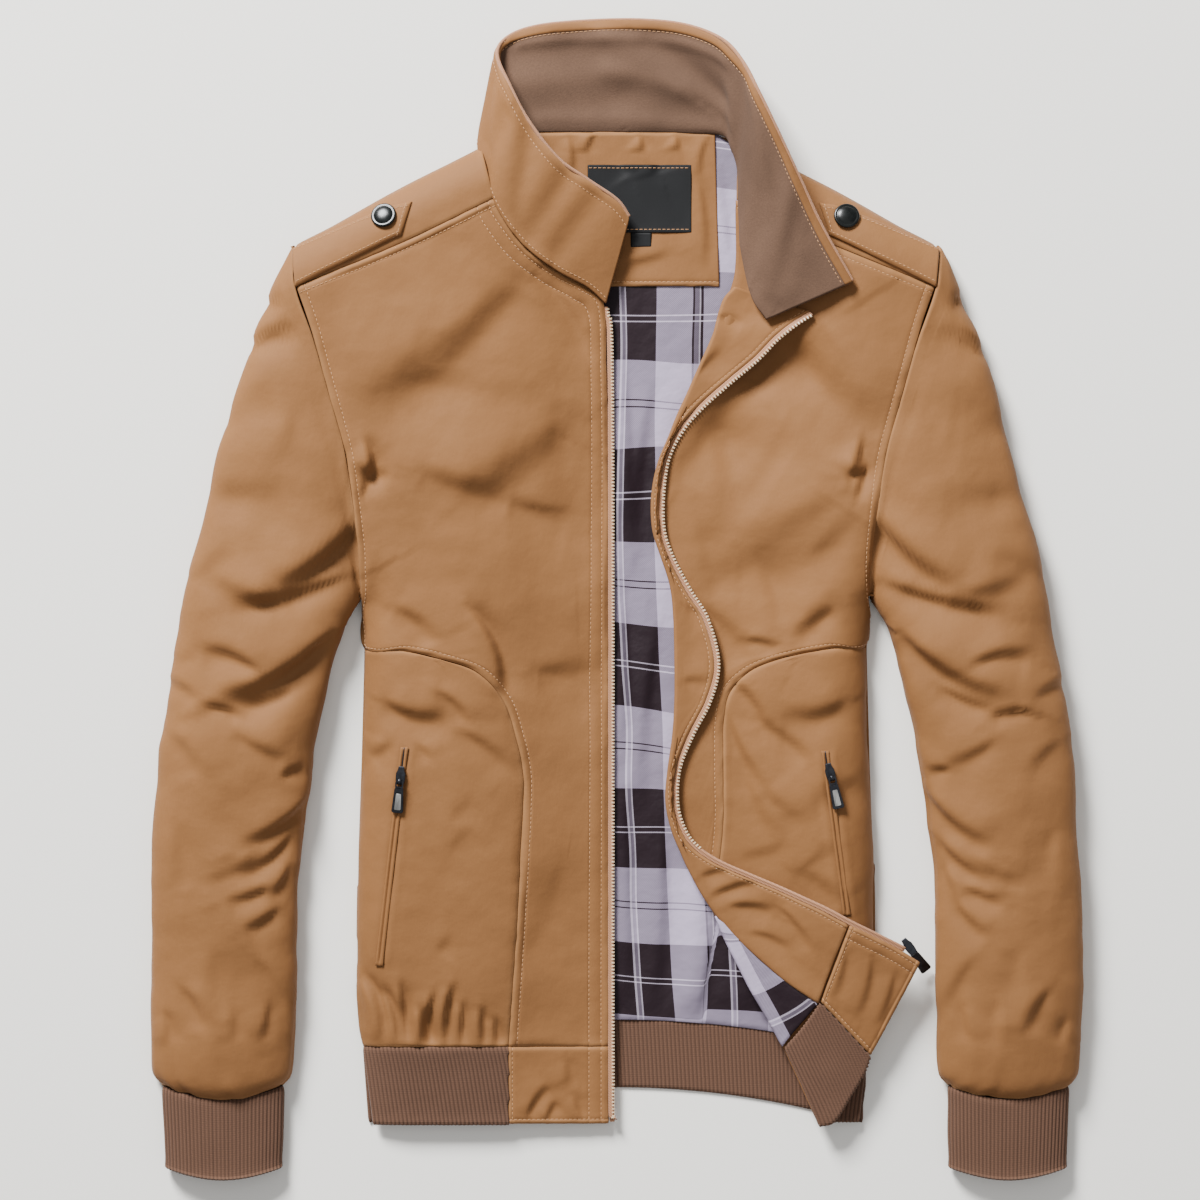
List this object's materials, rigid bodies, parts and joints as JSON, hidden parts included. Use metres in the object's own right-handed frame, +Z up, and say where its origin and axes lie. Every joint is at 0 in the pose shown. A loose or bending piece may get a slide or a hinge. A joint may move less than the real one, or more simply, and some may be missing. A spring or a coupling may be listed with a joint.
{
  "type": "bomber jacket",
  "caption": "Zipped bomber jacket laid flat: tan shell, knit hem and cuffs, stand collar, check lining and one front turned open.",
  "frame": {"origin": "centre of the jacket's footprint, on the surface that it lies on", "axes": "+Y from the hem to the collar, +Z up from the surface, +X towards the sleeve on the viewer's right, which is the wearer's left"},
  "size_m": [0.6688, 0.8311, 0.0444],
  "materials": {
    "shell_cloth": "tan cotton and nylon shell cloth with a faint satin sheen, lightly padded",
    "knit_rib": "brown knitted rib, matt",
    "check_lining": "woven check lining in aubergine, lilac grey and white",
    "brushed_fleece": "brown brushed fleece",
    "label_satin": "black satin label, bare",
    "snap_black": "black enamelled press stud",
    "zip_tape": "tan woven zip tape with cream moulded teeth",
    "zip_metal": "black lacquered zinc slider and pull"
  },
  "bodies": {
    "jacket": {"back_body": "shell_cloth", "right_front": "shell_cloth", "left_front": "shell_cloth", "left_front_turnback": "shell_cloth", "right_side_panel": "shell_cloth", "left_side_panel": "shell_cloth", "right_yoke": "shell_cloth", "left_yoke": "shell_cloth", "right_hem_band": "shell_cloth", "left_hem_band": "shell_cloth", "back_neck_facing": "shell_cloth", "left_facing": "shell_cloth", "collar_shell": "shell_cloth", "right_sleeve": "shell_cloth", "left_sleeve": "shell_cloth", "right_epaulette": "shell_cloth", "left_epaulette": "shell_cloth", "back_hem_rib": "knit_rib", "right_hem_rib": "knit_rib", "left_hem_rib": "knit_rib", "left_side_rib": "knit_rib", "right_cuff": "knit_rib", "left_cuff": "knit_rib", "back_lining": "check_lining", "left_front_lining": "check_lining", "collar_lining": "brushed_fleece", "neck_label": "label_satin", "size_tag": "label_satin", "right_snap": "snap_black", "left_snap": "snap_black", "right_zip_tape": "zip_tape", "left_zip_tape": "zip_tape", "right_pocket_tape": "zip_tape", "left_pocket_tape": "zip_tape", "front_slider": "zip_metal", "right_pocket_slider": "zip_metal", "left_pocket_slider": "zip_metal"},
    "right_pocket_pull_tab": {"right_pocket_pull": "zip_metal"},
    "left_pocket_pull_tab": {"left_pocket_pull": "zip_metal"},
    "front_pull_tab": {"front_pull": "zip_metal"}
  },
  "joints": [
    {"name": "right_pocket_pull_hinge", "type": "hinge", "parent": "jacket", "child": "right_pocket_pull_tab", "pos_m": [-0.15415, -0.13005, 0.03099], "axis": [-0.991, 0.0991, -0.0895], "range_deg": [0, 150]},
    {"name": "left_pocket_pull_hinge", "type": "hinge", "parent": "jacket", "child": "left_pocket_pull_tab", "pos_m": [0.15416, -0.12754, 0.03101], "axis": [-0.9664, -0.2416, 0.088], "range_deg": [0, 150]},
    {"name": "front_pull_hinge", "type": "hinge", "parent": "jacket", "child": "front_pull_tab", "pos_m": [0.2122, -0.2518, 0.01677], "axis": [-0.8, -0.6, 0], "range_deg": [0, 25]}
  ]
}
